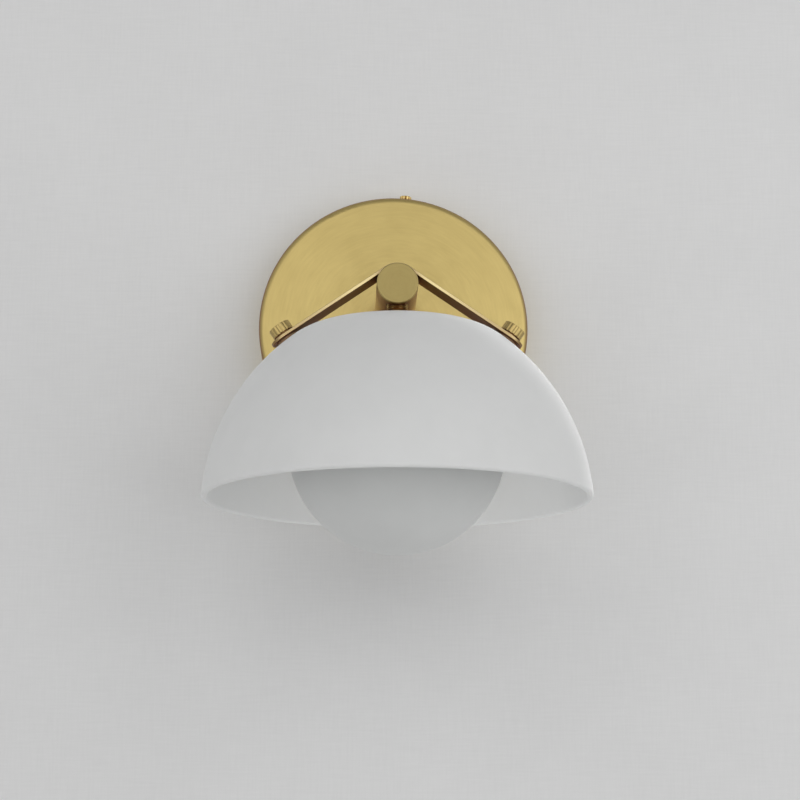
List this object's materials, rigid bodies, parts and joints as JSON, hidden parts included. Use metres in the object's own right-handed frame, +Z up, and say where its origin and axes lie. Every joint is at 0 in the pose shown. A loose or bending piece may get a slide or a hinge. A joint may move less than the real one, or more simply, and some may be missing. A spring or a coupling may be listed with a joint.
{
  "type": "wall sconce",
  "caption": "Downlight wall sconce: round canopy, short tube arm, inverted V yoke with thumb screws, opal glass dome over a screw-in opal globe, capsule lamp inside.",
  "frame": {"origin": "centre of the canopy and of the box screw circle, on the wall plane", "axes": "+X to the right seen from the room, +Y into the wall, +Z up"},
  "size_m": [0.1776, 0.1928, 0.1922],
  "materials": {
    "satin_brass": "satin, finely brushed, clear lacquer",
    "zinc_steel": "bright zinc plate",
    "green_steel": "green zinc plate",
    "opal_glass": "white opal, acid etched satin",
    "clear_glass": "clear polished",
    "silicone": "translucent white silicone, matt",
    "ceramic": "unglazed steatite ceramic",
    "black_insulation": "satin braid",
    "white_insulation": "satin braid",
    "orange_plastic": "moulded"
  },
  "bodies": {
    "sconce": {"mounting_bar": "zinc_steel", "ground_screw": "green_steel", "canopy": "satin_brass", "post_tube": "satin_brass", "post_bush": "satin_brass", "post_nipple": "zinc_steel", "post_washer": "zinc_steel", "post_lock_nut": "zinc_steel", "post_cap": "satin_brass", "yoke_block": "satin_brass", "yoke": "satin_brass", "yoke_screw": "satin_brass", "stem": "satin_brass", "stem_collar": "satin_brass", "crown_gasket_upper": "silicone", "crown_gasket_lower": "silicone", "dome_shade": "opal_glass", "globe_fitter": "satin_brass", "stem_lock_nut": "zinc_steel", "lampholder_bracket": "zinc_steel", "lampholder": "ceramic", "lampholder_screws": "zinc_steel", "dome_grommet_left": "silicone", "dome_grommet_right": "silicone", "dome_nut_washer_left": "satin_brass", "dome_nut_washer_right": "satin_brass", "dome_cap_nut_left": "satin_brass", "dome_cap_nut_right": "satin_brass", "lead_live": "black_insulation", "lead_neutral": "white_insulation", "wire_connectors": "orange_plastic"},
    "thumb_washer_left": {"thumb_washer_left": "satin_brass"},
    "thumb_screw_left": {"thumb_screw_left": "satin_brass"},
    "thumb_washer_right": {"thumb_washer_right": "satin_brass"},
    "thumb_screw_right": {"thumb_screw_right": "satin_brass"},
    "canopy_screw_washer_top": {"canopy_screw_washer_top": "satin_brass"},
    "canopy_screw_top": {"canopy_screw_top": "satin_brass"},
    "canopy_screw_washer_bottom": {"canopy_screw_washer_bottom": "satin_brass"},
    "canopy_screw_bottom": {"canopy_screw_bottom": "satin_brass"},
    "globe_gasket": {"globe_gasket": "silicone"},
    "globe": {"globe": "opal_glass"},
    "lamp": {"lamp_base": "clear_glass", "lamp_pins": "zinc_steel", "lamp_envelope": "clear_glass"}
  },
  "joints": [
    {"name": "thumb_travel_left", "type": "slide", "parent": "sconce", "child": "thumb_washer_left", "axis": [-0.565, 0, 0.8251], "range_m": [0, 0.0055]},
    {"name": "thumb_turn_left", "type": "hinge", "parent": "thumb_washer_left", "child": "thumb_screw_left", "pos_m": [-0.0513, -0.104, -0.02286], "axis": [-0.565, 0, 0.8251], "range_deg": [0, 2880]},
    {"name": "thumb_travel_right", "type": "slide", "parent": "sconce", "child": "thumb_washer_right", "axis": [0.565, 0, 0.8251], "range_m": [0, 0.0055]},
    {"name": "thumb_turn_right", "type": "hinge", "parent": "thumb_washer_right", "child": "thumb_screw_right", "pos_m": [0.0513, -0.104, -0.02286], "axis": [0.565, 0, 0.8251], "range_deg": [0, 2880]},
    {"name": "canopy_screw_travel_top", "type": "slide", "parent": "sconce", "child": "canopy_screw_washer_top", "axis": [0.0906, 0, 0.9959], "range_m": [0, 0.0055]},
    {"name": "canopy_screw_turn_top", "type": "hinge", "parent": "canopy_screw_washer_top", "child": "canopy_screw_top", "pos_m": [0.00598, -0.014, 0.06573], "axis": [0.0906, 0, 0.9959], "range_deg": [0, 2880]},
    {"name": "canopy_screw_travel_bottom", "type": "slide", "parent": "sconce", "child": "canopy_screw_washer_bottom", "axis": [-0.0906, 0, -0.9959], "range_m": [0, 0.0055]},
    {"name": "canopy_screw_turn_bottom", "type": "hinge", "parent": "canopy_screw_washer_bottom", "child": "canopy_screw_bottom", "pos_m": [-0.00598, -0.014, -0.06573], "axis": [-0.0906, 0, -0.9959], "range_deg": [0, 2880]},
    {"name": "globe_drop", "type": "slide", "parent": "sconce", "child": "globe_gasket", "axis": [0, 0, -1], "range_m": [0, 0.00605]},
    {"name": "globe_turn", "type": "hinge", "parent": "globe_gasket", "child": "globe", "pos_m": [0, -0.104, -0.075], "axis": [0, 0, -1], "range_deg": [0, 540]},
    {"name": "lamp_pull", "type": "slide", "parent": "sconce", "child": "lamp", "axis": [0, 0, -1], "range_m": [0, 0.009]}
  ],
  "couplings": [
    {"joint": "thumb_turn_left", "follows": "thumb_travel_left", "rad_per_m": 8976},
    {"joint": "thumb_turn_right", "follows": "thumb_travel_right", "rad_per_m": 8976},
    {"joint": "canopy_screw_turn_top", "follows": "canopy_screw_travel_top", "rad_per_m": 8976},
    {"joint": "canopy_screw_turn_bottom", "follows": "canopy_screw_travel_bottom", "rad_per_m": 8976},
    {"joint": "globe_drop", "follows": "globe_turn", "m_per_rad": 0.00063662}
  ]
}
